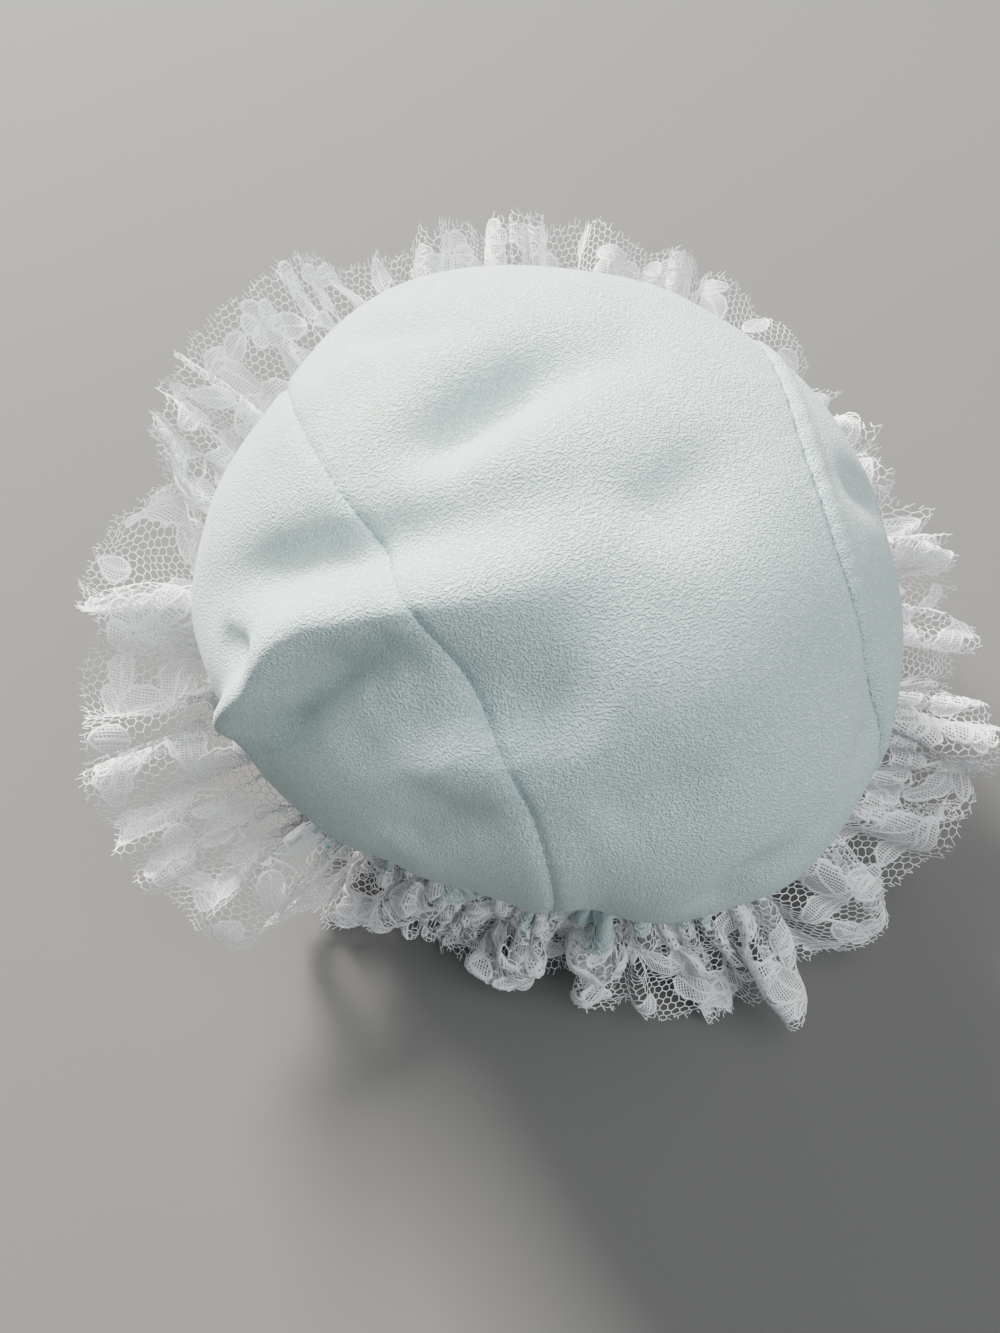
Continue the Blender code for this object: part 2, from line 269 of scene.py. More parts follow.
def meshFrom(name, points, faces, material, smooth=True):
    points = np.asarray(points, np.float32).reshape(-1, 3)
    faces = np.asarray(faces, np.int32)
    mesh = bpy.data.meshes.new(name)
    mesh.vertices.add(len(points))
    mesh.vertices.foreach_set("co", points.ravel())
    mesh.loops.add(faces.size)
    mesh.loops.foreach_set("vertex_index", faces.ravel())
    mesh.polygons.add(len(faces))
    mesh.polygons.foreach_set("loop_start", np.arange(0, faces.size, faces.shape[1], dtype=np.int32))
    mesh.update(calc_edges=True)
    mesh.materials.append(material)
    if smooth:
        mesh.shade_smooth()
    thing = bpy.data.objects.new(name, mesh)
    bpy.context.scene.collection.objects.link(thing)
    return thing


def gridFaces(rows, columns, closed=False):     # four corners for each cell of a grid of points
    wide = columns if closed else columns - 1
    r, c = np.meshgrid(np.arange(rows - 1), np.arange(wide), indexing="ij")
    nextColumn = (c + 1) % columns
    near = r * columns
    far = (r + 1) * columns
    return np.stack([near + c, near + nextColumn, far + nextColumn, far + c], -1).reshape(-1, 4)


def settle(piece, slot, *nodes):        # what it rides, its material slot, which is not used, and the parts that it stands for
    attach(piece, "root")
    if nodes:
        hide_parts(*nodes)


def merged(piece, distance=0.02 * mm):      # closes the corners where a grid shrinks to a point
    form = bmesh.new()
    form.from_mesh(piece.data)
    bmesh.ops.remove_doubles(form, verts=form.verts, dist=distance)
    bmesh.ops.dissolve_degenerate(form, edges=form.edges, dist=distance / 4)
    form.to_mesh(piece.data)
    form.free()
    piece.data.shade_smooth()
    return piece


def thickened(piece, cloth):        # gives a sheet its cloth's thickness, half to each side
    solid = piece.modifiers.new("cloth", "SOLIDIFY")
    solid.thickness = cloth
    solid.offset = 0
    return piece


def unit(vectors):
    return vectors / np.maximum(np.linalg.norm(vectors, axis=-1, keepdims=True), 1e-12)


def smoothStep(value, low, high):
    share = np.clip((value - low) / (high - low), 0, 1)
    return share * share * (3 - 2 * share)


def headRing(angle, out):       # a point this far outside the head opening's ellipse, and its normal
    normal = unit(np.stack([headY * np.cos(angle), headX * np.sin(angle)], -1))
    x = headX * np.cos(angle) + out * normal[..., 0]
    y = headY * np.sin(angle) + out * normal[..., 1]
    return x, y, normal


def ringCurve(points, softness=9):      # a smooth closed curve of values through (degrees, value) points
    grid = np.arange(360)
    angles, values = np.array(points, float).T
    dense = np.interp(grid, angles, values, period=360)
    waves = np.fft.rfft(dense) * np.exp(-0.5 * (np.arange(181) * radians(softness)) ** 2)
    dense = np.fft.irfft(waves, 360)
    return lambda angle: np.interp(np.degrees(angle) % 360, grid, dense, period=360)


# Crown: one shape in a flat disc's coordinates, cut into three panels along its seams

crownPlan = {
    "overhang": 42 * mm,
    "topShare": 0.737,      # how much of the way from the top to the rim is above the widest line
    "rows": 300,
    "columns": 130,
    "sideColumns": 72,
    "cloth": 0.5 * mm,
    "leftSeam": [       # each seam as (y, x) points in mm from the crown's middle
        (-121, -45), (-101, -43), (-85, -44), (-52, -47), (-32, -51), (-6, -56), (15, -58), (57, -59),
        (121, -60),
    ],
    "leftTuck": 0,
    "rightSeam": [
        (-121, 65), (-96, 66), (-76, 65), (-48, 64), (-15, 69), (0, 75), (30, 87), (60, 91), (121, 80),
    ],
    "rightTuck": 27 * mm,       # how far the seam turns in towards the rim under the overhang
    "outline": [        # how many mm the crown stands outside its ellipse, by degrees round it
        (6, -6), (21, -9), (36, -12), (51, -9), (66, -6), (81, -2), (96, 4), (111, 0), (126, -8), (141, -1),
        (156, 2), (171, -2), (186, -5), (201, -9), (216, -14), (231, -16), (246, -13), (261, -6), (276, 5),
        (291, 7), (306, 4), (321, 0), (336, -5), (351, -3),
    ],
    "swell": 0.9,       # slow unevenness of the cloth, in mm, and a finer one over it
    "fineSwell": 0.22,
    "seamDip": 0.9 * mm,
    "seamRidge": 0.9 * mm,
    "seamPucker": 0.22 * mm,
    "seamSwell": 0.35 * mm,
    "gathers": 54,
    "gatherDepth": 2.2 * mm,
    "flat": {       # each panel's width, length and area, cut flat
        "centre": (0.165, 0.46, 0.064),
        "left": (0.115, 0.37, 0.035),
        "right": (0.105, 0.37, 0.027),
    },
}
crownMiddle = rimZ + crownPlan["overhang"]
crownRise = crownHigh.z - crownMiddle

# Folds in the cloth: points in mm from the crown's middle, height in mm (less than 0 sinks) and how far it
# reaches to either side, in mm, at its start and its end.
crownFolds = [
    {"line": [(-48, 16, 94), (-30, 18, 99), (-11, 22, 101), (5, 25, 101), (30, 24, 98)],
     "height": -12.5, "reach": (12, 11)},
    {"line": [(-38, 76, 72), (-23, 61, 87), (-6, 50, 94)], "height": -3.0, "reach": (9, 8)},
    {"line": [(-104, 24, 48), (-81, 9, 76), (-63, 0, 87), (-36, -8, 98), (-2, -15, 102)],
     "height": -8.5, "reach": (10, 12)},
    {"line": [(0, -34, 98), (13, -28, 100), (32, -23, 98), (52, -16, 92)], "height": -4.5, "reach": (12, 13)},
    {"line": [(-58, -41, 78), (-43, -51, 81), (-30, -59, 82), (-16, -72, 79)],
     "height": -4.2, "reach": (9, 13)},
    {"line": [(-112, -22, 24), (-92, -25, 57), (-79, -26, 71), (-66, -30, 79), (-50, -38, 83)],
     "height": -13.0, "reach": (6, 10)},
    {"line": [(-108, 12, 44), (-100, -1, 56), (-98, -11, 55)], "height": -4.5, "reach": (7, 6)},
    {"line": [(-90, -41, 48), (-70, -44, 67), (-57, -49, 74), (-46, -60, 73)],
     "height": -3.8, "reach": (9, 12)},
    {"line": [(-86, -64, 20), (-65, -70, 46), (-50, -77, 56)], "height": -5.0, "reach": (7, 11)},
    {"line": [(-32, -89, 54), (-14, -91, 63), (12, -91, 70)], "height": -4.0, "reach": (12, 11)},
    {"line": [(-6, -121, 4), (9, -118, 28), (32, -114, 38)], "height": -5.0, "reach": (8, 9)},
    {"line": [(77, -30, 74), (92, -31, 59), (104, -32, 40)], "height": -3.0, "reach": (8, 6)},
    {"line": [(69, -67, 65), (65, -87, 52), (56, -104, 36)], "height": -2.4, "reach": (8, 8)},
    {"line": [(-118, -10, 14), (-110, -10, 36), (-100, -13, 53), (-91, -11, 64), (-80, -8, 76)],
     "height": 9.0, "reach": (4.5, 8)},
    {"line": [(-103, 8, 54), (-84, -9, 73), (-66, -18, 84), (-47, -24, 91), (-27, -30, 96), (6, -34, 99)],
     "height": 4.6, "reach": (9, 13)},
    {"line": [(-70, -52, 63), (-55, -63, 64), (-32, -74, 67)], "height": 3.0, "reach": (11, 13)},
    {"line": [(-62, 50, 76), (-44, 57, 81), (-26, 58, 87)], "height": 3.0, "reach": (11, 12)},
    {"line": [(20, 62, 88), (50, 58, 84), (84, 40, 70)], "height": 2.4, "reach": (14, 12)},
    {"line": [(60, -90, 46), (48, -104, 36)], "height": -3.2, "reach": (8, 8)},
]
crownOutline = ringCurve(crownPlan["outline"], 7)


def crownBase(p, q):        # a disc's point (p, q) on the puffed shape, from the top in the middle to the rim
    plan = crownPlan
    r = np.hypot(p, q)
    angle = np.arctan2(q, p)
    fall = np.clip(r / plan["topShare"], 0, 1) * pi / 2
    under = np.clip((r - plan["topShare"]) / (1 - plan["topShare"]), 0, 1) * pi / 2
    rimX, rimY, _ = headRing(angle, casingDepth / 2)
    puff = crownOutline(angle) * mm
    wideX = (crownX + puff) * np.cos(angle)
    wideY = (crownY + puff) * np.sin(angle)
    above = r <= plan["topShare"]
    x = np.where(above, wideX * np.sin(fall), rimX + (wideX - rimX) * np.cos(under))
    y = np.where(above, wideY * np.sin(fall), rimY + (wideY - rimY) * np.cos(under))
    z = np.where(above, crownRise * np.cos(fall), -plan["overhang"] * np.sin(under))
    return np.stack([x, y, z], -1)


def seamLine(points, tuck):     # a seam's x at a place on the cloth, on a smooth curve near its points
    y, x = np.array(points, float).T * mm
    curve = np.polynomial.Polynomial.fit(y, x, 5)

    def seam(at):
        below = np.minimum(at[..., 2], 0)
        return curve(np.clip(at[..., 1], y[0], y[-1])) + tuck * below / crownPlan["overhang"]

    return seam


leftSeam = seamLine(crownPlan["leftSeam"], crownPlan["leftTuck"])
rightSeam = seamLine(crownPlan["rightSeam"], crownPlan["rightTuck"])


def seamInDisc(seam, q):        # how far across the disc the seam runs, for each q
    low = -np.sqrt(np.maximum(1 - q * q, 0))
    high = -low
    for _ in range(40):
        centre = (low + high) / 2
        spot = crownBase(centre, q)
        beyond = spot[..., 0] > seam(spot)
        high = np.where(beyond, centre, high)
        low = np.where(beyond, low, centre)
    return (low + high) / 2


def strokeHeight(points, fold):     # a fold's height, which fades towards both ends
    line = np.array(fold["line"], float) * mm
    lengths = np.linalg.norm(np.diff(line, axis=0), axis=1)
    before = np.concatenate([[0], np.cumsum(lengths)]) / lengths.sum()
    nearest = np.full(points.shape[:-1], 1e9)
    place = np.zeros(points.shape[:-1])
    for k, (start, end) in enumerate(zip(line, line[1:])):
        run = end - start
        share = np.clip(((points - start) @ run) / (run @ run), 0, 1)
        away = np.linalg.norm(points - start - share[..., None] * run, axis=-1)
        place = np.where(away < nearest, before[k] + share * (before[k + 1] - before[k]), place)
        nearest = np.minimum(away, nearest)
    low, high = fold["reach"]
    reach = (low + (high - low) * place) * mm
    taper = 0.25 + 0.75 * smoothStep(place, 0, 0.3) * smoothStep(1 - place, 0, 0.45)
    return fold["height"] * mm * taper * np.exp(-(nearest / reach) ** 2)


def crownFolding(spot, p, q):       # how far the cloth stands off the puffed shape
    plan = crownPlan
    height = np.zeros(spot.shape[:-1])
    for fold in crownFolds:
        height += strokeHeight(spot, fold)
    x, y, z = (spot / mm).transpose(2, 0, 1)
    swell = np.sin(x / 19 + 1.3 * np.sin(y / 31)) * np.sin(y / 23 + z / 37 + 0.7) * plan["swell"]
    swell += np.sin(x / 9.5 + y / 14 + 2 * np.sin(z / 20)) * np.sin(y / 8.7 - x / 26) * plan["fineSwell"]
    height += swell * mm
    r = np.hypot(p, q)
    angle = np.arctan2(q, p)
    wander = angle * plan["gathers"] + 1.9 * np.sin(3 * angle + 1)      # gathers of uneven width
    wander = wander + 1.4 * np.sin(7 * angle) + 0.9 * np.sin(13 * angle)
    near = smoothStep(r, 0.74, 0.99) * (0.7 + 0.3 * np.sin(5 * angle + 2))
    far = smoothStep(r, 0.50 + 0.05 * np.sin(4 * angle), 0.9) * (0.6 + 0.4 * np.sin(3 * angle + 0.5))
    height += plan["gatherDepth"] * near * np.sin(wander)
    height += plan["gatherDepth"] * far * 0.9 * np.sin(wander / 3 + 0.6 * np.sin(5 * angle))
    return height


def seamShape(spot):        # the dip along the left seam, the ridge along the right, and the puckers
    plan = crownPlan
    fromLeft = spot[..., 0] - leftSeam(spot)
    fromRight = spot[..., 0] - rightSeam(spot)
    along = spot[..., 1] + 0.6 * spot[..., 2]
    dip = -plan["seamDip"] * np.exp(-(fromLeft / (1.5 * mm)) ** 2)
    dip -= plan["seamDip"] * np.exp(-(fromRight / (1.2 * mm)) ** 2)
    ridge = plan["seamRidge"] * np.exp(-((fromRight - 4 * mm) / (3.2 * mm)) ** 2)
    pucker = np.sin(along / (1.15 * mm) + 2 * np.sin(along / (9 * mm)))
    beside = np.exp(-(fromLeft / (5 * mm)) ** 2) + np.exp(-(fromRight / (5 * mm)) ** 2)
    puckers = plan["seamPucker"] * pucker * beside
    swell = plan["seamSwell"] * np.exp(-((np.abs(fromLeft) - 5 * mm) / (4 * mm)) ** 2)
    return dip + ridge + puckers + swell


def crownPoint(p, q, inside=0.0):       # a point of the sewn crown, in the row frame
    tiny = 1e-4
    spot = crownBase(p, q)
    alongP = crownBase(p + tiny, q) - crownBase(p - tiny, q)
    alongQ = crownBase(p, q + tiny) - crownBase(p, q - tiny)
    normal = unit(np.cross(alongP, alongQ))
    rise = crownFolding(spot, p, q) + seamShape(spot) - inside
    point = spot + normal * rise[..., None]
    return point + middle + np.array([0, 0, crownMiddle])


def evenly(count, clustered=0.4):       # from 0 to 1, closer together towards both ends
    share = np.linspace(0, 1, count)
    return (1 - clustered) * share + clustered * (0.5 - 0.5 * np.cos(pi * share))


def panelEdges(which, q):
    arc = np.sqrt(np.maximum(1 - q * q, 0))
    left = seamInDisc(leftSeam, q)
    right = seamInDisc(rightSeam, q)
    if which == "left":
        return -arc, left
    if which == "right":
        return right, arc
    return left, right


def panelMesh(which, rows, columns):
    trial = np.linspace(-1, 1, 2001)
    low, high = panelEdges(which, trial)
    inside = trial[high - low > 1e-4]
    centre = (inside[0] + inside[-1]) / 2
    half = (inside[-1] - inside[0]) / 2
    q = centre + half * np.sin(np.linspace(-pi / 2, pi / 2, rows))
    low, high = panelEdges(which, q)
    share = evenly(columns)
    p = low[:, None] + (high - low)[:, None] * share
    qs = np.repeat(q[:, None], columns, 1)
    points = crownPoint(p, qs)
    name = "crown_" + which + "_panel_cloth"
    panel = merged(meshFrom(name, points, gridFaces(rows, columns), crepe))
    return thickened(panel, crownPlan["cloth"])


def makeCrown(plan):
    for which, (width, length, area) in plan["flat"].items():
        columns = plan["columns"] if which == "centre" else plan["sideColumns"]
        panel = panelMesh(which, plan["rows"], columns)
        settle(panel, "crepe", "crown_" + which + "_panel")


makeCrown(crownPlan)
print("crown sewn")

# Frills: a folded sheet, worked out row by row from its gathered line to its free edge

besselAt = np.linspace(0, 2.4, 241)
besselIs = np.cos(besselAt[:, None] * np.sin(np.linspace(0, pi, 400))).mean(1)      # how far a wavy line gets


def waviness(ratio, strengths):     # how strongly to fold, to advance by this share of the sheet's length
    weakest = np.zeros_like(ratio)
    strongest = 2.38 / np.maximum(np.max(strengths, axis=0), 1e-6)
    for _ in range(30):
        trial = (weakest + strongest) / 2
        reach = np.prod([np.interp(trial * size, besselAt, besselIs) for size in strengths], axis=0)
        weakest = np.where(reach > ratio, trial, weakest)
        strongest = np.where(reach > ratio, strongest, trial)
    return weakest


def withoutDrift(values, step, longest):        # takes out waves longer than this
    count = len(values)
    waves = np.fft.rfft(values - values[-1] * np.arange(1, count + 1) / count)
    length = step * count
    turns = np.arange(len(waves)) * longest / length
    return np.fft.irfft(waves * (1 - np.exp(-0.5 * turns ** 4)), count)


def foldTurns(length, narrow, wide, dice):      # a phase that rises by one turn over each uneven fold
    widths = []
    while sum(widths) < length:
        widths.append(narrow + (wide - narrow) * dice.random() ** 1.2)
    ends = np.concatenate([[0], np.cumsum(widths)]) * length / sum(widths)
    strengths = dice.uniform(0.3, 1.3, len(widths))

    def folds(at):
        at = at % length
        phase = 2 * pi * np.interp(at, ends, np.arange(len(ends)))
        return phase, np.interp(at, ends[:-1], strengths, period=length)

    return folds


def unevenRing(length, count, size, dice):      # a slowly changing value round the strip
    values = dice.uniform(-size, size, count)
    return lambda at: np.interp(at % length, np.arange(count) * length / count, values, period=length)


foldRules = {
    "ratio": (0.12, 0.995),     # the tightest and loosest gathering, as the share of its length that is left
    "leastAdvance": 0.45,       # each row moves on by at least this share of a step
    "sag": 1.3,     # how late the frill bends from its first pitch to its last
    "floorRoom": 10 * mm,       # below this height it is pressed flat
    "crinkleWave": 5.3 * mm,
    "scrunchWave": 4.1 * mm,
}


def foldedSheet(plan):
    rules = foldRules
    floorRoom = rules["floorRoom"]
    dice = np.random.default_rng(plan["seed"])
    columns = plan["columns"]
    length = plan["flatLength"]
    step = length / columns
    grid = np.linspace(0, 2 * pi, 3601)
    speed = np.hypot(headX * np.sin(grid), headY * np.cos(grid))
    share = ringCurve(plan["fullness"])(grid) * (speed + 0.05)
    used = np.concatenate([[0], np.cumsum((share[1:] + share[:-1]) / 2)])
    at = (np.arange(columns) + 0.5) * step
    angle = np.interp(at, used / used[-1] * length, grid)
    turning = np.gradient(angle, step)
    families = [(foldTurns(length, *sizes, dice), grows) for sizes, grows in plan["folds"]]
    slants = [unevenRing(length, 17, slant, dice)(at) for slant in plan["slants"]]
    leaning = unevenRing(length, 24, 0.35, dice)(at)
    flutter = unevenRing(length, 61, 1, dice)
    wander = unevenRing(length, 29, 1, dice)(at)
    scrunch = ringCurve(plan["scrunch"])(angle) * mm
    toss = unevenRing(length, 15, 0.6, dice)(at) + unevenRing(length, 34, 0.6, dice)(at)
    toss = radians(plan["toss"]) * toss
    start = np.radians(ringCurve(plan["startPitch"])(angle))
    end = np.radians(ringCurve(plan["endPitch"])(angle))
    widthWise = np.linspace(0, plan["reach"], plan["rows"])
    drop = widthWise[1]
    speed = np.hypot(headX * np.sin(angle), headY * np.cos(angle))
    bend = headX * headY / speed ** 2
    out = np.full(columns, plan["rootOut"])
    z = np.full(columns, plan["rootZ"])
    before = None
    rows = []
    for v in widthWise:
        share = v / plan["reach"]
        pitch = start + (end - start) * share ** rules["sag"] + toss * share
        nearFloor = smoothStep(z, -4 * mm, 22 * mm)
        pitch = np.where(pitch < 0, pitch * nearFloor, pitch)       # it spreads out on the floor
        ratio = np.clip((speed + out * bend) * turning, *rules["ratio"])
        waves = []
        strengths = []
        for (folds, grows), slant in zip(families, slants):
            phase, strength = folds(at + slant * v)
            strengths.append(strength * np.interp(share, np.linspace(0, 1, len(grows)), grows))
            waves.append(np.sin(phase) + leaning * np.sin(2 * phase + 1))
        tilt = waviness(ratio, strengths) * np.sum([a * b for a, b in zip(strengths, waves)], axis=0)
        stand = withoutDrift(np.cumsum(np.sin(tilt)) * step, step, plan["longest"])
        crinkle = np.sin(v / rules["crinkleWave"] + 4 * flutter(at)) * flutter(at + 3 * v)
        stand += plan["crinkle"] * crinkle * smoothStep(v, 10 * mm, 60 * mm)
        stand += scrunch * np.sin(v / rules["scrunchWave"] + 2.5 * wander) * smoothStep(v, 18 * mm, 45 * mm)
        slide = withoutDrift(np.cumsum(np.cos(tilt) - ratio) * step, step, plan["longest"])
        if before is not None:
            spent = (stand - before[0]) ** 2 + 0.5 * (slide - before[1]) ** 2
            advance = np.sqrt(np.clip(drop ** 2 - spent, (rules["leastAdvance"] * drop) ** 2, None))
            out = out + advance * np.cos(pitch)
            z = z + advance * np.sin(pitch)
        before = (stand, slide)
        x, y, normal = headRing(angle, out)
        outward = np.stack([normal[:, 0], normal[:, 1], np.zeros(columns)], -1)
        along = np.stack([-normal[:, 1], normal[:, 0], np.zeros(columns)], -1)
        upward = np.cos(pitch)[:, None] * np.array([0, 0, 1]) - np.sin(pitch)[:, None] * outward
        point = np.stack([x, y, z], -1) + middle
        point += along * slide[:, None] + upward * stand[:, None]
        low = np.minimum(point[:, 2], floorRoom)
        point[:, 2] += floorRoom * np.exp(low / floorRoom - 1) - low        # nothing goes through the floor
        rows.append(point)
    points = np.array(rows)
    sideways = np.roll(points, -1, 1) - np.roll(points, 1, 1)
    outwards = np.gradient(points, axis=0)
    normals = unit(np.cross(outwards, sideways))
    return {"points": points, "normals": normals, "length": length, "reach": plan["reach"]}


def onSheet(sheet, u, v, lift=0.0):     # a flat place on the sheet, as a point of the folded one
    rows, columns, _ = sheet["points"].shape
    across = np.clip(v / sheet["reach"], 0, 1) * (rows - 1)
    around = (u / sheet["length"] * columns) % columns
    r = np.minimum(across.astype(int), rows - 2)
    c = around.astype(int) % columns
    fr = (across - r)[..., None]
    fc = (around - np.floor(around))[..., None]
    nextC = (c + 1) % columns

    def blend(field):
        low = field[r, c] * (1 - fc) + field[r, nextC] * fc
        high = field[r + 1, c] * (1 - fc) + field[r + 1, nextC] * fc
        return low * (1 - fr) + high * fr

    lift = np.asarray(lift)[..., None] if np.ndim(lift) else lift
    return blend(sheet["points"]) + unit(blend(sheet["normals"])) * lift


upperPlan = {
    "seed": 11,
    "flatLength": 2.3,
    "reach": 104 * mm,
    "rows": 60,
    "columns": 2500,
    "rootOut": casingDepth + 0.3 * mm,
    "rootZ": (casingLow.z + casingHigh.z) / 2,
    "folds": [      # each kind's narrowest and widest, and its strength from the gathered line to the edge
        ((110 * mm, 200 * mm), (0, 0.05, 0.25, 0.4, 0.5)),
        ((22 * mm, 105 * mm), (0.05, 0.6, 0.95, 0.9, 0.85)),
        ((10 * mm, 26 * mm), (1, 0.8, 0.42, 0.22, 0.14)),
    ],
    "longest": 240 * mm,
    "slants": (1.0, 0.9, 0.3),
    "toss": 36,
    "crinkle": 1.4 * mm,
    "scrunch": [(0, 0.5), (80, 0.2), (130, 0.3), (190, 0.8), (215, 4.2), (262, 4.2), (275, 0.8), (340, 0.8)],
    "fullness": [       # how much of the strip goes to each direction, by degrees
        (0, 1.1), (40, 1.0), (75, 0.85), (110, 0.8), (140, 1.0), (175, 1.0), (205, 0.95), (235, 1.1),
        (265, 1.2), (290, 1.1), (320, 1.0),
    ],
    "startPitch": [     # how steeply it rises at the gathered line and at its edge, both in degrees
        (0, 10), (60, 18), (90, 26), (112, 42), (135, 38), (160, 30), (183, 12), (199, -50), (218, -90),
        (238, -90), (247, -80), (262, -92), (276, -30), (290, -36), (305, -30), (330, 0), (350, 16),
    ],
    "endPitch": [
        (0, 4), (60, 16), (90, 24), (112, 38), (135, 32), (160, 20), (183, -4), (199, -64), (218, -70),
        (238, -68), (247, -42), (261, -76), (276, -22), (288, -44), (300, -36), (318, -14), (340, -4),
        (352, -8),
    ],
}
upperSheet = foldedSheet(upperPlan)

lowerPlan = {
    "seed": 23,
    "flatLength": 1.3,
    "reach": 72 * mm,
    "rows": 38,
    "columns": 1300,
    "rootOut": 2.8 * mm,
    "rootZ": casingLow.z - 0.4 * mm,
    "folds": [
        ((90 * mm, 170 * mm), (0, 0.1, 0.4, 0.6, 0.7)),
        ((34 * mm, 80 * mm), (0.05, 0.6, 0.95, 0.9, 0.8)),
        ((9 * mm, 22 * mm), (1, 0.75, 0.4, 0.25, 0.18)),
    ],
    "longest": 200 * mm,
    "slants": (0.8, 0.6, 0.25),
    "toss": 14,
    "crinkle": 1.1 * mm,
    "scrunch": [(0, 0.4), (180, 0.4)],
    "fullness": [(0, 1.0), (180, 1.0), (220, 0.85), (270, 1.1)],
    "startPitch": [(0, -58), (90, -60), (180, -56), (215, -55), (240, -66), (270, -66), (300, -58)],
    "endPitch": [(0, -78), (90, -80), (180, -76), (215, -66), (240, -80), (270, -82), (300, -74)],
}
lowerSheet = foldedSheet(lowerPlan)
print("frills folded")


# Brim: a strip of crepe under the upper lace, with a rolled hem

brimPlan = {
    "width": 30 * mm,
    "rows": 15,
    "columns": 1320,
    "cloth": 0.4 * mm,
    "hem": 0.8 * mm,
    "hemSides": 7,
}


def tubePoints(path, radius, sides, closed=True):       # rings round a path's points
    path = np.asarray(path)
    ahead = np.roll(path, -1, 0) - np.roll(path, 1, 0) if closed else np.gradient(path, axis=0)
    ahead = unit(ahead)
    side = unit(np.cross(ahead, np.array([0.13, 0.21, 0.97])))
    top = np.cross(side, ahead)
    turn = np.arange(sides) * 2 * pi / sides
    radius = np.broadcast_to(radius, len(path))[:, None, None]
    ring = side[:, None] * np.cos(turn)[:, None] + top[:, None] * np.sin(turn)[:, None]
    return path[:, None] + ring * radius


def closedCord(name, path, radius, sides, material):        # a round cord that runs back into itself
    faces = gridFaces(len(path), sides, closed=True)
    last = (len(path) - 1) * sides
    a = np.arange(sides)
    b = (a + 1) % sides
    faces = np.concatenate([faces, np.stack([last + a, last + b, b, a], -1)])
    return meshFrom(name, tubePoints(path, radius, sides), faces[:, ::-1], material)


def makeBrim(plan):
    width, columns, length = plan["width"], plan["columns"], upperSheet["length"]
    u = np.arange(columns) * length / columns
    v = np.linspace(0, width, plan["rows"])
    grid = np.meshgrid(v, u, indexing="ij")
    points = onSheet(upperSheet, grid[1], grid[0])
    faces = gridFaces(*grid[0].shape, closed=True)[:, ::-1]
    brim = thickened(meshFrom("brim_frill_cloth", points, faces, crepe), plan["cloth"])
    wobble = plan["hem"] * (1 + 0.12 * np.sin(u * 900) + 0.1 * np.sin(u * 377))
    edge = onSheet(upperSheet, u, np.full(columns, width))
    hem = closedCord("rolled_hem", edge, wobble, plan["hemSides"], crepe)
    settle(brim, "crepe", "brim_frill")
    settle(hem, "crepe", "brim_rolled_hem")


makeBrim(brimPlan)
print("brim made")


# Lace: a net of six-sided cells, with leaves and flowers filled by a finer grid of threads

lacePlan = {
    "cell": 3.3 * mm,
    "netThread": 0.36 * mm,
    "fillThread": 0.48 * mm,
    "crossThread": 0.38 * mm,
    "fillPitch": 1.0 * mm,
    "crossPitch": 1.35 * mm,
    "gimp": 1.1 * mm,
    "stem": 1.3 * mm,
    "whiskerThread": 0.3 * mm,
    "leafGrow": (1.1, 1.35),        # motifs are drawn this much longer and wider than listed
    "petalGrow": (1.2, 1.15),
    "repeat": 78 * mm,
    "width": 74 * mm,
    "maskStep": 0.25 * mm,
    "longest": 2.3 * mm,
    "whisker": (0.5 * mm, 2.6 * mm),
}


def leafOutline(length, width, bend=0.0, count=26):      # a pointed leaf along x, from its stalk
    t = np.concatenate([np.linspace(0, 1, count), np.linspace(1, 0, count)[1:-1]])
    side = np.concatenate([np.ones(count), -np.ones(count - 2)])
    half = width / 2 * np.sin(pi * t ** 0.8) ** 0.75 * (1 + 0.07 * np.sin(9 * pi * t))
    return np.stack([length * t, side * half + bend * np.sin(pi * t)], -1)


def petalOutline(length, width, count=14):
    t = np.linspace(0, 2 * pi, 2 * count, endpoint=False)
    reach = length * (0.55 - 0.45 * np.cos(t))
    return np.stack([reach, width / 2 * np.sin(t) * (0.75 - 0.25 * np.cos(t))], -1)


def placed(shape, x, y, degrees, flip=1):
    turn = radians(degrees)
    spin = np.array([[cos(turn), sin(turn)], [-sin(turn), cos(turn)]])
    return (shape * np.array([1, flip])) @ spin + np.array([x, y])


# One repeat of the lace, in mm. A leaf is (x, y, degrees, length, width, bend) and a flower is
# (x, y, radius, petals).
leaves = [
    (6, 25, 62, 21, 9, 1.5), (9, 22, -38, 17, 8, -1), (20, 31, 104, 19, 9, 1), (26, 32, 18, 22, 9.5, 2),
    (33, 24, -66, 18, 8, -1), (44, 39, 72, 22, 10, 1.5), (48, 34, -20, 19, 8.5, -2), (60, 30, 128, 15, 7, 1),
    (63, 26, -84, 20, 9, 1), (70, 31, 34, 20, 9, 1.5), (2, 49, 30, 16, 8, 1), (30, 62, -12, 15, 7, -1),
    (56, 62, 172, 13, 6.5, 1), (74, 58, 96, 13, 7, 0), (16, 5, 12, 15, 6, 1), (52, 8, 158, 14, 6, 1),
]
flowers = [(19, 60, 8.5, 6), (67, 10, 8, 6), (39, 12, 7, 5)]
stems = [
    [(0, 24), (10, 25), (20, 31), (32, 31), (44, 36), (56, 34), (66, 27), (78, 24)],
    [(20, 31), (21, 42), (19, 52)],
    [(56, 34), (62, 22), (66, 15)],
    [(32, 31), (37, 22), (39, 17)],
]


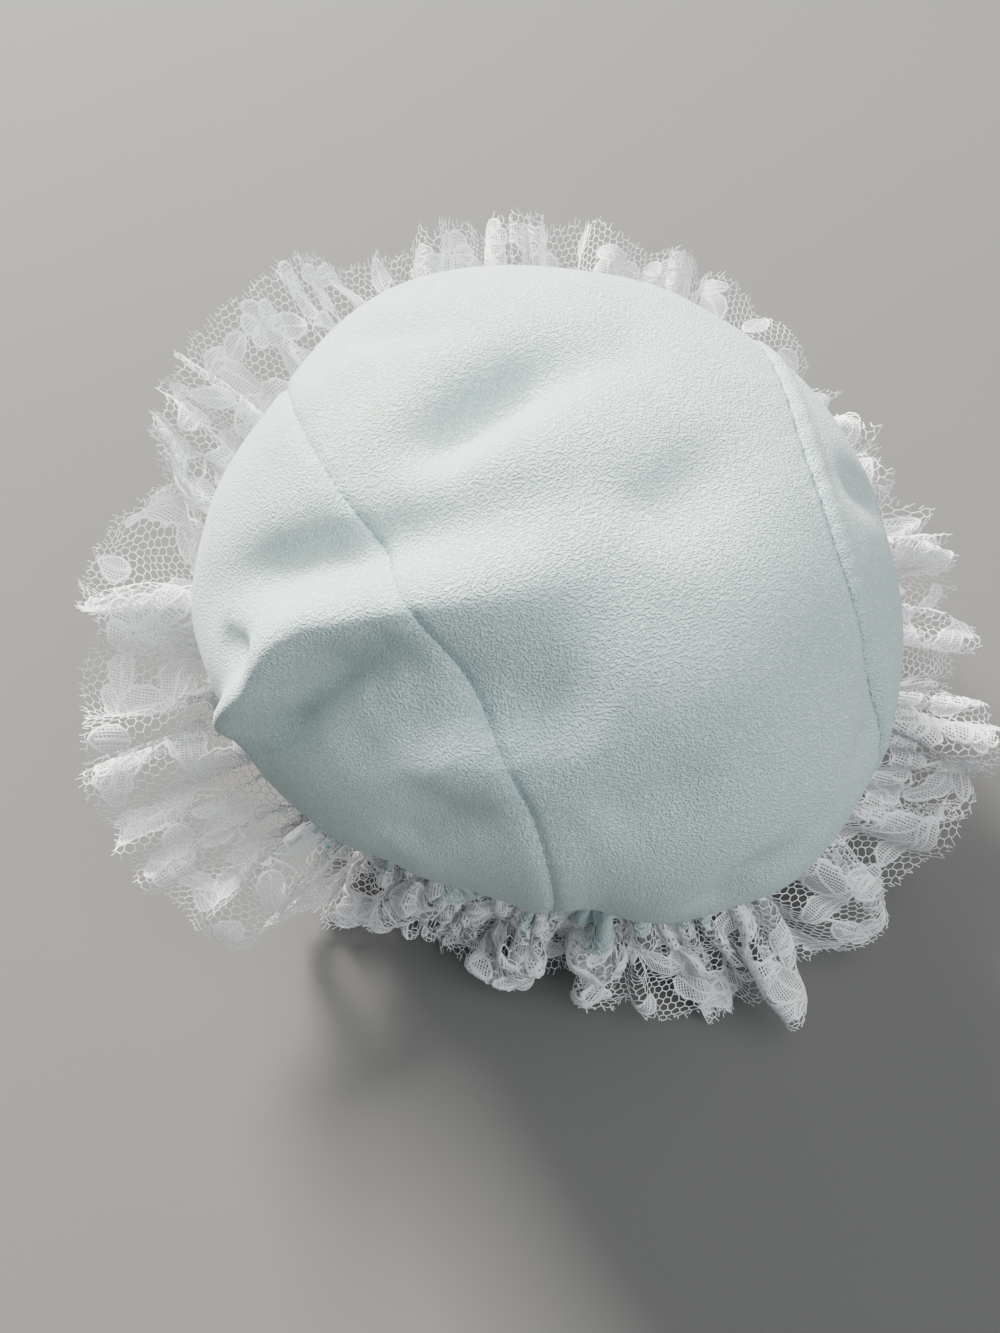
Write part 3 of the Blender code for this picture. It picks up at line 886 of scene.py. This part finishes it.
def laceShapes(length, dice):       # every outline of the whole strip, as (kind, points)
    shapes = []
    repeats = round(length / lacePlan["repeat"])
    leafLong, leafWide = lacePlan["leafGrow"]
    petalLong, petalWide = lacePlan["petalGrow"]
    ribAt = np.linspace(0.05, 0.93, 9)
    for k in range(repeats):
        start = k * length / repeats
        flip = -1 if k % 2 else 1
        level = lacePlan["width"] / 2

        def put(shape, kind):
            spot = shape * mm
            spot = np.stack([spot[:, 0], level + flip * (spot[:, 1] - level)], -1)
            shapes.append((kind, spot + np.array([start, 0])))

        for x, y, degrees, long, wide, bend in leaves:
            wag = dice.uniform(-7, 7)
            put(placed(leafOutline(long * leafLong, wide * leafWide, bend), x, y, degrees + wag), "leaf")
            rib = np.stack([ribAt * long, bend * np.sin(pi * ribAt)], -1)
            put(placed(rib, x, y, degrees + wag), "rib")
        for x, y, radius, petals in flowers:
            wag = dice.uniform(0, 40)
            for j in range(petals):
                petal = petalOutline(radius * petalLong, radius * petalWide)
                put(placed(petal, x, y, wag + 360 * j / petals), "petal")
            eye = np.linspace(0, 2 * pi, 11)
            put(np.stack([x + 1.6 * np.cos(eye), y + 1.6 * np.sin(eye)], -1), "eye")
        for line in stems:
            x, y = np.array(line, float).T
            corners = np.arange(len(line))
            t = np.linspace(0, len(line) - 1, 4 * len(line))
            put(np.stack([np.interp(t, corners, x), np.interp(t, corners, y)], -1), "stem")
    return shapes


def insideOutline(points, outline):
    x, y = points[..., 0], points[..., 1]
    inside = np.zeros(x.shape, bool)
    for (x1, y1), (x2, y2) in zip(outline, np.roll(outline, -1, 0)):
        if y1 != y2:
            crosses = (y1 > y) != (y2 > y)
            inside ^= crosses & (x < x1 + (y - y1) / (y2 - y1) * (x2 - x1))
    return inside


def paintedMask(length, shapes):        # where the filled motifs are, on a fine flat grid
    fine = lacePlan["maskStep"]
    size = (int(length / fine) + 1, int(lacePlan["width"] / fine) + 1)
    mask = np.zeros(size, bool)
    for kind, outline in shapes:
        if kind not in ("leaf", "petal"):
            continue
        low = np.maximum(np.floor(outline.min(0) / fine).astype(int), 0)
        high = np.minimum(np.ceil(outline.max(0) / fine).astype(int) + 1, size)
        if (high <= low).any():
            continue
        grid = np.stack(np.meshgrid(*[np.arange(a, b) for a, b in zip(low, high)], indexing="ij"), -1) * fine
        mask[low[0]:high[0], low[1]:high[1]] |= insideOutline(grid, outline)
    gaps = mask.copy()
    for kind, line in shapes:
        if kind == "rib":
            for point in np.concatenate([line[:-1] + (line[1:] - line[:-1]) * s for s in (0, 0.33, 0.67)]):
                a, b = np.clip((point / fine).astype(int), 0, np.array(size) - 1)
                gaps[max(a - 1, 0):a + 2, max(b - 1, 0):b + 2] = False
    return mask, gaps


def masked(mask, u, v):
    a = np.clip((u / lacePlan["maskStep"]).astype(int), 0, mask.shape[0] - 1)
    b = np.clip((v / lacePlan["maskStep"]).astype(int), 0, mask.shape[1] - 1)
    return mask[a, b]


def netRuns(length, width, mask):       # the net's threads, as starts and ends in the flat
    cell = lacePlan["cell"]
    cell = length / round(length / cell)
    rise = cell * 0.866
    i, j = np.meshgrid(np.arange(round(length / cell)), np.arange(-1, int(width / rise) + 2), indexing="ij")
    centre = np.stack([(i + 0.5 * (j % 2)) * cell, j * rise], -1).reshape(-1, 2)
    corner = [np.array([cos(radians(a)), sin(radians(a))]) * cell / 3 ** 0.5 for a in (-30, 30, 90, 150)]
    starts = np.concatenate([centre + corner[k] for k in range(3)])
    ends = np.concatenate([centre + corner[k + 1] for k in range(3)])

    def wander(p):
        u, v = p.T
        shift = np.stack([np.sin(u * 1900 + v * 700), np.sin(u * 1300 - v * 2100)], -1)
        return p + 0.25 * mm * shift

    starts, ends = wander(starts), wander(ends)
    u, v = ((starts + ends) / 2).T
    keep = (v > 0) & (v < edgeAt(u)) & ~masked(mask, u, v)
    return starts[keep], ends[keep]


def edgeAt(u):      # where the cut edge runs
    return lacePlan["width"] - mm * (0.9 + 0.7 * np.sin(u * 310) + 0.5 * np.sin(u * 733 + 1))


def fillRuns(mask, pitch, crosswise):       # parallel threads inside the motifs
    fine = lacePlan["maskStep"]
    table = mask.T if crosswise else mask
    starts, ends = [], []
    for line in np.arange(0, table.shape[0] * fine, pitch):
        row = table[min(int(line / fine), table.shape[0] - 1)].astype(np.int8)
        steps = np.diff(np.concatenate([[0], row, [0]]))
        for a, b in zip(np.flatnonzero(steps == 1) * fine, np.flatnonzero(steps == -1) * fine):
            pieces = max(1, int(np.ceil((b - a) / lacePlan["longest"])))
            cuts = np.linspace(a, b, pieces + 1)
            for low, high in zip(cuts, cuts[1:]):
                starts.append((low, line) if crosswise else (line, low))
                ends.append((high, line) if crosswise else (line, high))
    starts, ends = np.array(starts), np.array(ends)
    keep = ends[:, 1] < edgeAt(ends[:, 0])
    return starts[keep], ends[keep]


def cordRuns(shapes, kinds):
    starts, ends = [], []
    for kind, line in shapes:
        if kind in kinds:
            closed = kind in ("leaf", "petal")
            after = np.roll(line, -1, 0) if closed else line[1:]
            starts.append(line if closed else line[:-1])
            ends.append(after)
    starts, ends = np.concatenate(starts), np.concatenate(ends)
    keep = (starts[:, 1] > 0) & (np.maximum(starts[:, 1], ends[:, 1]) < edgeAt(starts[:, 0]))
    return starts[keep], ends[keep]


def whiskerRuns(length, dice):      # cut thread ends along the free edge
    u = np.arange(0, length, lacePlan["cell"] * 0.7)
    u = u + dice.uniform(-0.5, 0.5, len(u)) * mm
    lean = dice.uniform(-0.9, 0.9, len(u))
    long = dice.uniform(*lacePlan["whisker"], len(u))
    starts = np.stack([u, edgeAt(u) - 1 * mm], -1)
    ends = starts + np.stack([long * np.sin(lean), 1 * mm + long * np.cos(lean)], -1)
    return starts, ends


def threadMesh(sheet, offset, starts, ends, wide, lift, peak):      # ribbons, raised along the middle
    run = ends - starts
    side = unit(np.stack([-run[:, 1], run[:, 0]], -1)) * wide / 2
    low = lift - peak * 0.5

    def spot(flat, height):
        beyond = np.maximum(flat[:, 1] + offset - sheet["reach"], 0)
        inside = onSheet(sheet, flat[:, 0], flat[:, 1] + offset, height)
        if beyond.max() > 0:
            back = onSheet(sheet, flat[:, 0], np.full(len(flat), sheet["reach"] - 2 * mm), height)
            tip = onSheet(sheet, flat[:, 0], np.full(len(flat), sheet["reach"]), height)
            inside = inside + unit(tip - back) * beyond[:, None]
        return inside

    corners = [spot(starts - side, low), spot(starts, lift + peak), spot(starts + side, low)]
    corners += [spot(ends - side, low), spot(ends, lift + peak), spot(ends + side, low)]
    points = np.stack(corners, 1).reshape(-1, 3)
    first = np.arange(len(starts))[:, None] * 6
    faces = np.concatenate([first + np.array([0, 1, 4, 3]), first + np.array([1, 2, 5, 4])])
    return points, faces


def flatMesh(sheet, offset, starts, ends, wide, lift):
    run = ends - starts
    side = unit(np.stack([-run[:, 1], run[:, 0]], -1)) * wide / 2
    corners = [starts - side, starts + side, ends + side, ends - side]
    points = np.stack([onSheet(sheet, c[:, 0], c[:, 1] + offset, lift) for c in corners], 1).reshape(-1, 3)
    faces = np.arange(len(starts))[:, None] * 4 + np.arange(4)
    return points, faces


def makeLace(name, node, sheet, offset, base, sections, seed):
    dice = np.random.default_rng(seed)
    length = sheet["length"]
    shapes = laceShapes(length, dice)
    mask, filled = paintedMask(length, shapes)
    plan = lacePlan
    width = plan["width"]
    motifs = ("leaf", "petal", "eye", "rib")
    families = [        # how each is made, its threads, and their width, lift and peak
        (threadMesh, netRuns(length, width, mask), (plan["netThread"], base, 0.16 * mm)),
        (flatMesh, fillRuns(filled, plan["fillPitch"], False), (plan["fillThread"], base + 0.05 * mm)),
        (flatMesh, fillRuns(filled, plan["crossPitch"], True), (plan["crossThread"], base + 0.2 * mm)),
        (threadMesh, cordRuns(shapes, motifs), (plan["gimp"], base + 0.2 * mm, 0.25 * mm)),
        (threadMesh, cordRuns(shapes, ("stem",)), (plan["stem"], base + 0.2 * mm, 0.3 * mm)),
        (threadMesh, whiskerRuns(length, dice), (plan["whiskerThread"], base, 0.1 * mm)),
    ]
    for part in range(sections):
        points = []
        faces = []
        count = 0
        area = 0.0
        for build, (starts, ends), sizes in families:
            inside = np.floor((starts[:, 0] % length) / length * sections).astype(int) == part
            a, b = starts[inside], ends[inside]
            corners, sides = build(sheet, offset, a, b, *sizes)
            points.append(corners)
            faces.append(sides + count)
            count += len(corners)
            area += float((np.linalg.norm(b - a, axis=1) * sizes[0]).sum())
        piece = meshFrom(f"{name}_{part + 1}", np.concatenate(points), np.concatenate(faces), lace)
        settle(piece, "lace", node)
        flat = (width, length / sections)
        whole = flat[0] * flat[1]
        print(name, part + 1, "covers", round(area / whole, 2), "of its flat strip")


makeLace("upper_lace", "upper_lace_frill", upperSheet, 23 * mm, 0.75 * mm, 4, 5)
makeLace("lower_lace", "lower_lace_frill", lowerSheet, 0.0, 0.4 * mm, 2, 6)
print("lace made")

# Seams: the turned-in edges behind each seam

allowancePlan = {
    "width": 11 * mm,
    "length": 360 * mm,
    "behind": 1.2 * mm,
    "rows": 220,
    "columns": 9,
    "cloth": 0.4 * mm,
}


def seamPath(seam, count, inside, aside=0.0):       # along a seam from nape to front, or this far beside it
    trial = np.linspace(-1, 1, 2001)
    p = seamInDisc(seam, trial)
    used = trial[np.abs(p) < np.sqrt(1 - trial ** 2) - 2e-3]
    middleQ = (used[0] + used[-1]) / 2
    q = middleQ + (used[-1] - used[0]) / 2 * np.sin(np.linspace(-pi / 2, pi / 2, count))
    p = seamInDisc(seam, q)
    stride = np.linalg.norm(crownBase(p + 1e-3, q) - crownBase(p - 1e-3, q), axis=-1) / 2e-3
    arc = np.sqrt(1 - q * q) - 1e-3
    p = np.clip(p + aside / stride, -arc, arc)
    return crownPoint(p[None], q[None], inside)[0]


def makeAllowances(plan):
    for seam, word in ((leftSeam, "left"), (rightSeam, "right")):
        beside = np.linspace(-plan["width"] / 2, plan["width"] / 2, plan["columns"])
        points = np.stack([seamPath(seam, plan["rows"], plan["behind"], a) for a in beside], 1)
        strip = meshFrom(word + "_seam_turning", points, gridFaces(plan["rows"], plan["columns"]), crepe)
        thickened(strip, plan["cloth"])
        settle(strip, "crepe", word + "_seam_allowance")


makeAllowances(allowancePlan)


# Casing: the folded band round the elastic, gathered by it

casingPlan = {"columns": 760, "gathers": 92, "rise": 0.75 * mm, "round": 1.2 * mm}


def makeCasing(plan):
    turns = np.linspace(0, 2 * pi, plan["columns"], endpoint=False)
    wide = casingDepth / 2
    high = (casingHigh.z - casingLow.z) / 2
    corners = np.linspace(0, 2 * pi, 28, endpoint=False)
    squareness = (np.abs(np.cos(corners)) ** 6 + np.abs(np.sin(corners)) ** 6) ** (-1 / 6)
    out = wide + (wide - 0.1 * mm) * np.cos(corners) * squareness
    z = (casingHigh.z + casingLow.z) / 2 + (high - 0.1 * mm) * np.sin(corners) * squareness
    wave = turns * plan["gathers"] + 1.7 * np.sin(5 * turns) + 1.2 * np.sin(11 * turns + 1)
    fold = plan["rise"] * (0.5 + 0.5 * np.sin(wave))[None] * np.clip(np.cos(corners), 0, 1)[:, None] ** 0.5
    sink = plan["rise"] * 0.5 * (np.sin(wave * 0.5 + 1))[None] * np.abs(np.sin(corners))[:, None] ** 3
    x, y, _ = headRing(np.broadcast_to(turns, fold.shape), out[:, None] + fold - plan["rise"] * 0.3)
    level = z[:, None] - np.abs(sink) * np.sign(np.sin(corners))[:, None]
    points = np.stack([x, y, level], -1) + middle
    points = np.concatenate([points, points[:1]])
    faces = gridFaces(len(points), plan["columns"], closed=True)
    casing = merged(meshFrom("gathered_casing", points, faces, crepe))
    settle(casing, "crepe", "elastic_casing")


def finishNode(name, material):       # a part that is shown as it is, in its own material
    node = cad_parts[name]
    node.data.materials.clear()
    node.data.materials.append(material)


makeCasing(casingPlan)
finishNode("elastic_band", elastic)
finishNode("elastic_join_stitching", whiteThread)
print("casing made")


# Stitches: one thread's run of them along a path, by Geometry Nodes

def stitchTree(name, material):
    tree = bpy.data.node_groups.new(name, "GeometryNodeTree")
    tree.interface.new_socket("Path", in_out="INPUT", socket_type="NodeSocketGeometry")
    for label in ("Pitch", "Length", "Thread", "Lean"):
        tree.interface.new_socket(label, in_out="INPUT", socket_type="NodeSocketFloat")
    tree.interface.new_socket("Seed", in_out="INPUT", socket_type="NodeSocketInt")
    tree.interface.new_socket("Stitches", in_out="OUTPUT", socket_type="NodeSocketGeometry")

    def step(kind, inputs, **settings):
        node = tree.nodes.new(kind)
        for key, value in settings.items():
            setattr(node, key, value)
        for key, value in inputs.items():
            if isinstance(value, bpy.types.NodeSocket):
                tree.links.new(value, node.inputs[key])
            else:
                node.inputs[key].default_value = value
        return node

    given = step("NodeGroupInput", {}).outputs
    curve = step("GeometryNodeMeshToCurve", {"Mesh": given["Path"]}).outputs[0]
    inputs = {"Curve": curve, "Length": given["Pitch"]}
    spaced = step("GeometryNodeResampleCurve", inputs, mode="LENGTH").outputs[0]
    bead = step("GeometryNodeMeshUVSphere", {"Segments": 7, "Rings": 5, "Radius": 0.5}).outputs[0]
    inputs = {0: given["Length"], 1: given["Thread"], 2: given["Thread"]}
    size = step("ShaderNodeCombineXYZ", inputs).outputs[0]
    stitch = step("GeometryNodeTransform", {"Geometry": bead, "Scale": size}).outputs[0]
    ahead = step("GeometryNodeInputTangent", {}).outputs[0]
    aligned = step("FunctionNodeAlignRotationToVector", {"Vector": ahead}, axis="X").outputs[0]
    least = step("ShaderNodeMath", {0: given["Lean"], 1: -1.0}, operation="MULTIPLY").outputs[0]
    inputs = {2: least, 3: given["Lean"], 8: given["Seed"]}
    lean = step("FunctionNodeRandomValue", inputs, data_type="FLOAT").outputs[1]
    turn = step("ShaderNodeCombineXYZ", {2: lean}).outputs[0]
    leaning = step("FunctionNodeRotateRotation", {0: aligned, 1: turn}, rotation_space="LOCAL").outputs[0]
    inputs = {"Points": spaced, "Instance": stitch, "Rotation": leaning}
    placed = step("GeometryNodeInstanceOnPoints", inputs).outputs[0]
    real = step("GeometryNodeRealizeInstances", {"Geometry": placed}).outputs[0]
    smooth = step("GeometryNodeSetShadeSmooth", {"Geometry": real}).outputs[0]
    painted = step("GeometryNodeSetMaterial", {"Geometry": smooth, "Material": material}).outputs[0]
    step("NodeGroupOutput", {0: painted})
    return tree


stitchPlans = {
    "seam": {"Pitch": 2.7 * mm, "Length": 2.3 * mm, "Thread": 0.5 * mm, "Lean": 0.06, "Seed": 1},
    "gather": {"Pitch": 4.2 * mm, "Length": 3.0 * mm, "Thread": 0.5 * mm, "Lean": 0.2, "Seed": 2},
    "lace": {"Pitch": 3.4 * mm, "Length": 2.7 * mm, "Thread": 0.5 * mm, "Lean": 0.12, "Seed": 3},
    "fold": {"Pitch": 3.0 * mm, "Length": 2.4 * mm, "Thread": 0.45 * mm, "Lean": 0.1, "Seed": 4},
}


threads = {"aqua_thread": aquaThread, "white_thread": whiteThread}      # the material for each slot


def sewStitches(name, path, closed, plan, slot, node):
    count = len(path)
    edges = [(i, (i + 1) % count) for i in range(count if closed else count - 1)]
    line = bpy.data.meshes.new(name)
    line.from_pydata([tuple(point) for point in path], edges, [])
    thing = bpy.data.objects.new(name, line)
    bpy.context.scene.collection.objects.link(thing)
    tree = stitchTree(name, threads[slot])
    sewing = thing.modifiers.new("stitches", "NODES")
    sewing.node_group = tree
    for item in tree.interface.items_tree:
        if item.in_out == "INPUT" and item.name in plan:
            sewing[item.identifier] = plan[item.name]
    graph = bpy.context.evaluated_depsgraph_get()
    sewn = bpy.data.meshes.new_from_object(thing.evaluated_get(graph))
    thing.modifiers.remove(sewing)
    thing.data = sewn
    settle(thing, slot, node)


def sheetRing(sheet, count, v, lift):       # a path right round a folded sheet, this far along it
    u = np.arange(count) * sheet["length"] / count
    return onSheet(sheet, u, np.full(count, v), lift)


def headPath(count, out, z):
    x, y, _ = headRing(np.arange(count) * 2 * pi / count, out)
    return np.stack([x, y, np.full(count, z)], -1) + middle


def sewEverything():
    for line, word in ((leftSeam, "left"), (rightSeam, "right")):
        path = seamPath(line, 420, -0.25 * mm)
        node = word + "_seam_thread"
        sewStitches(word + "_seam_stitches", path, False, stitchPlans["seam"], "aqua_thread", node)
    onBrim = sheetRing(upperSheet, 1500, 5 * mm, 0.5 * mm)
    onUpper = sheetRing(upperSheet, 1500, 26.5 * mm, 1.2 * mm)
    onLower = sheetRing(lowerSheet, 900, 3 * mm, 0.8 * mm)
    outside = casingDepth + 0.35 * mm
    onCrown = headPath(420, outside, casingHigh.z - 1.6 * mm)
    onCasing = headPath(420, outside, casingLow.z + 1.8 * mm)
    rings = [
        ("brim_gathering_stitches", onBrim, "gather", "aqua_thread", "brim_gathering_thread"),
        ("upper_lace_stitches", onUpper, "lace", "white_thread", "upper_lace_stitching"),
        ("lower_lace_stitches", onLower, "lace", "white_thread", "lower_lace_stitching"),
        ("crown_gathering_stitches", onCrown, "gather", "aqua_thread", "crown_gathering_thread"),
        ("casing_fold_stitches", onCasing, "fold", "aqua_thread", "casing_fold_stitching"),
    ]
    for name, path, kind, slot, node in rings:
        sewStitches(name, path, True, stitchPlans[kind], slot, node)


sewEverything()
print("stitches sewn")


# Two loose thread ends at the nape, each a bundle of fine strands

tailPlan = {
    "ends": (("left", 262, 8), ("right", 277, 6)),      # the direction in degrees, and how many strands
    "from": 27 * mm,
    "long": (13 * mm, 23 * mm),
    "thread": 0.5 * mm,
    "points": 14,
    "sides": 6,
    "seed": 9,
}


def sheetPlace(sheet, degrees):     # how far along the strip lies at this angle round the head
    root = sheet["points"][0] - middle
    turn = np.degrees(np.arctan2(root[:, 1] / headY, root[:, 0] / headX))
    away = np.abs((turn - degrees + 180) % 360 - 180)
    return np.argmin(away) * sheet["length"] / len(root)


def makeTails(plan):
    dice = np.random.default_rng(plan["seed"])
    count, sides = plan["points"], plan["sides"]
    t = np.linspace(0, 1, count)
    for word, degrees, strands in plan["ends"]:
        start = sheetPlace(upperSheet, degrees)
        parts = []
        for _ in range(strands):
            long = dice.uniform(*plan["long"])
            sway = dice.uniform(-0.3, 0.3) * long
            curl = dice.uniform(-0.1, 0.1) * long
            u = start + sway * t ** 1.6 + curl * np.sin(5 * t)
            lift = 1.5 * mm + dice.uniform(5, 9) * mm * t ** 1.5
            path = onSheet(upperSheet, u, plan["from"] + long * t, lift)
            thin = plan["thread"] / 2 * (1 - 0.4 * t)
            parts.append(tubePoints(path, thin, sides, closed=False))
        faces = gridFaces(count, sides, closed=True)[:, ::-1]
        faces = np.concatenate([faces + k * count * sides for k in range(strands)])
        tail = meshFrom(word + "_thread_end", np.concatenate(parts), faces, whiteThread)
        settle(tail, "white_thread", word + "_thread_tail")


makeTails(tailPlan)
print("thread ends made")


# Floor and light

floorPlan = {
    "half": 6,
    "deep": (0.13, 0.127, 0.122),
    "light": (0.145, 0.141, 0.136),
}


def makeFloor(plan):
    half = plan["half"]
    points = [(-half, -half, 0), (half, -half, 0), (half, half, 0), (-half, half, 0)]
    paint = Finish("floor")
    speck = paint.noise(paint.place(), 3, 3)
    colour = paint.mix(speck, plan["deep"], plan["light"])
    paint.surface(colour, 0.9, speck, 0.05, 1 * mm)
    floor = meshFrom("floor", points, [(0, 1, 2, 3)], paint.material, smooth=False)


lights = [
    {"name": "window", "from": (-0.3, 3.0, 1.86), "size": 1.05, "power": 640, "colour": (1.0, 0.965, 0.91)},
    {"name": "fill", "from": (1.65, -1.8, 3.0), "size": 2.7, "power": 95, "colour": (0.93, 0.97, 1.0)},
    {"name": "top", "from": (0.9, 0.6, 3.9), "size": 2.1, "power": 55, "colour": (1, 1, 1)},
]
skyPlan = {"colour": (0.82, 0.91, 1), "strength": 0.2}


def makeLights():
    target = Vector((0, middle[1], 0.12))
    for plan in lights:
        lamp = bpy.data.lights.new(plan["name"], "AREA")
        lamp.size = plan["size"]
        lamp.energy = plan["power"]
        lamp.color = plan["colour"]
        thing = bpy.data.objects.new(plan["name"], lamp)
        place = Vector(plan["from"])
        thing.matrix_world = aimed(place, target - place)
        bpy.context.scene.collection.objects.link(thing)
    world = bpy.data.worlds.new("studio")
    world.use_nodes = True
    sky = world.node_tree.nodes["Background"]
    sky.inputs["Color"].default_value = (*skyPlan["colour"], 1)
    sky.inputs["Strength"].default_value = skyPlan["strength"]
    bpy.context.scene.world = world


makeFloor(floorPlan)
makeLights()
print("floor and lights made")
